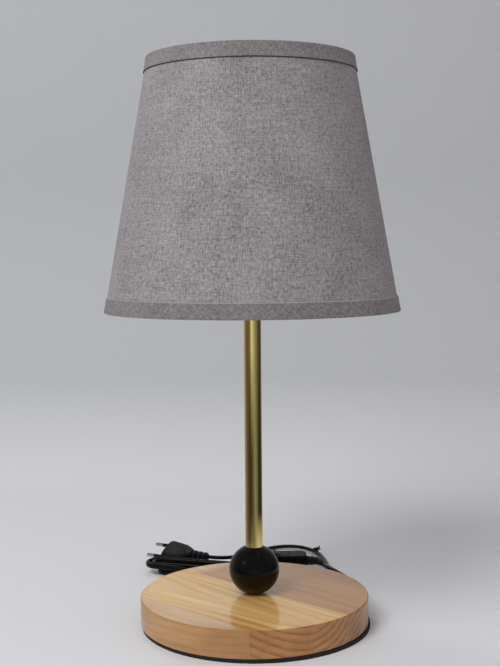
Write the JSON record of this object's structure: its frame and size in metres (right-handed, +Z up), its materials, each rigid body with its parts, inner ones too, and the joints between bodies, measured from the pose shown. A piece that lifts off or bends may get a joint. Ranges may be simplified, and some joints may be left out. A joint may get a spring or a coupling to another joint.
{
  "type": "table lamp",
  "caption": "Table lamp with a conical fabric shade, brass stem, ball spacer, round wooden base, in-line rocker switch and a corded two-pin plug.",
  "frame": {"origin": "middle of the base pad's underside, on the table", "axes": "+Z up along the stem, +Y away from the viewer towards the cord, +X to the viewer's right"},
  "size_m": [0.2552, 0.3757, 0.491],
  "materials": {
    "lamp_wood": "satin clear lacquer over pale wood",
    "pad_foam": "black foam rubber",
    "ball_gloss": "gloss black",
    "brass": "polished brass",
    "zinc_steel": "zinc plated steel",
    "white_wire": "white coated steel wire",
    "holder_plastic": "black moulded plastic",
    "porcelain": "white porcelain",
    "contact_brass": "plain brass strip",
    "bulb_cap_metal": "nickel plated",
    "bulb_white": "white moulded plastic",
    "bulb_diffuser": "frosted opal plastic",
    "board": "white circuit board",
    "shade_fabric": "grey melange linen weave",
    "shade_trim": "grey linen binding",
    "shade_lining": "white styrene lining",
    "cord_pvc": "black flexible sheath",
    "core_pvc": "coloured core insulation",
    "switch_plastic": "black moulded plastic",
    "plug_pvc": "black moulded plug",
    "pin_nickel": "nickel plated brass",
    "tie_plastic": "black plastic over wire"
  },
  "bodies": {
    "root": {"base_disc": "lamp_wood", "base_pad": "pad_foam", "base_washer": "zinc_steel", "base_nut": "zinc_steel", "lamp_rod": "zinc_steel", "cord_bush": "holder_plastic", "cord_clamp": "holder_plastic", "clamp_screws": "zinc_steel", "ball": "ball_gloss", "stem_tube": "brass", "tube_cap": "brass", "holder_cap": "holder_plastic", "grub_screw": "zinc_steel", "lock_nut": "zinc_steel", "holder_skirt": "holder_plastic", "holder_insert": "porcelain", "terminal_screws": "contact_brass", "screw_shell": "contact_brass", "centre_contact": "contact_brass", "side_contact": "contact_brass", "inner_cord": "cord_pvc", "wire_cores": "core_pvc", "switch_base": "switch_plastic", "switch_cover": "switch_plastic", "rocker_pin": "zinc_steel", "switch_screws": "zinc_steel", "switch_terminals": "contact_brass", "plug_body": "plug_pvc", "plug_pins": "pin_nickel", "pin_sleeves": "plug_pvc", "cord_hank": "cord_pvc", "cord_lead": "cord_pvc", "cord_link": "cord_pvc", "cord_tail": "cord_pvc", "cord_tie": "tie_plastic"},
    "bulb_carriage": {"bulb_tip_contact": "bulb_cap_metal"},
    "bulb": {"bulb_cap": "bulb_cap_metal", "bulb_insulator": "holder_plastic", "bulb_housing": "bulb_white", "bulb_globe": "bulb_diffuser", "led_board": "board", "driver_board": "board"},
    "shade": {"shade_cloth": "shade_fabric", "shade_liner": "shade_lining", "shade_trim_bottom": "shade_trim", "shade_trim_top": "shade_trim", "top_wire_ring": "white_wire", "bottom_wire_ring": "white_wire", "shade_fitter": "white_wire", "shade_spokes": "white_wire"},
    "clamp_ring": {"shade_clamp_ring": "holder_plastic"},
    "rocker": {"switch_rocker": "switch_plastic"}
  },
  "joints": [
    {"name": "rocker_tilt", "type": "hinge", "parent": "root", "child": "rocker", "pos_m": [0.027, 0.171, 0.0121], "axis": [0, 1, 0], "range_deg": [-16, 0]},
    {"name": "shade_turn", "type": "hinge", "parent": "root", "child": "shade", "pos_m": [0, 0, 0.332], "axis": [0, 0, 1], "continuous": true},
    {"name": "ring_lift", "type": "slide", "parent": "root", "child": "clamp_ring", "axis": [0, 0, 1], "range_m": [0, 0.014]},
    {"name": "bulb_lift", "type": "slide", "parent": "root", "child": "bulb_carriage", "axis": [0, 0, 1], "range_m": [0, 0.0146]},
    {"name": "bulb_turn", "type": "hinge", "parent": "bulb_carriage", "child": "bulb", "pos_m": [0, 0, 0.34], "axis": [0, 0, 1], "range_deg": [0, 1440]}
  ],
  "couplings": [
    {"joint": "bulb_lift", "follows": "bulb_turn", "m_per_rad": 0.00057774}
  ]
}
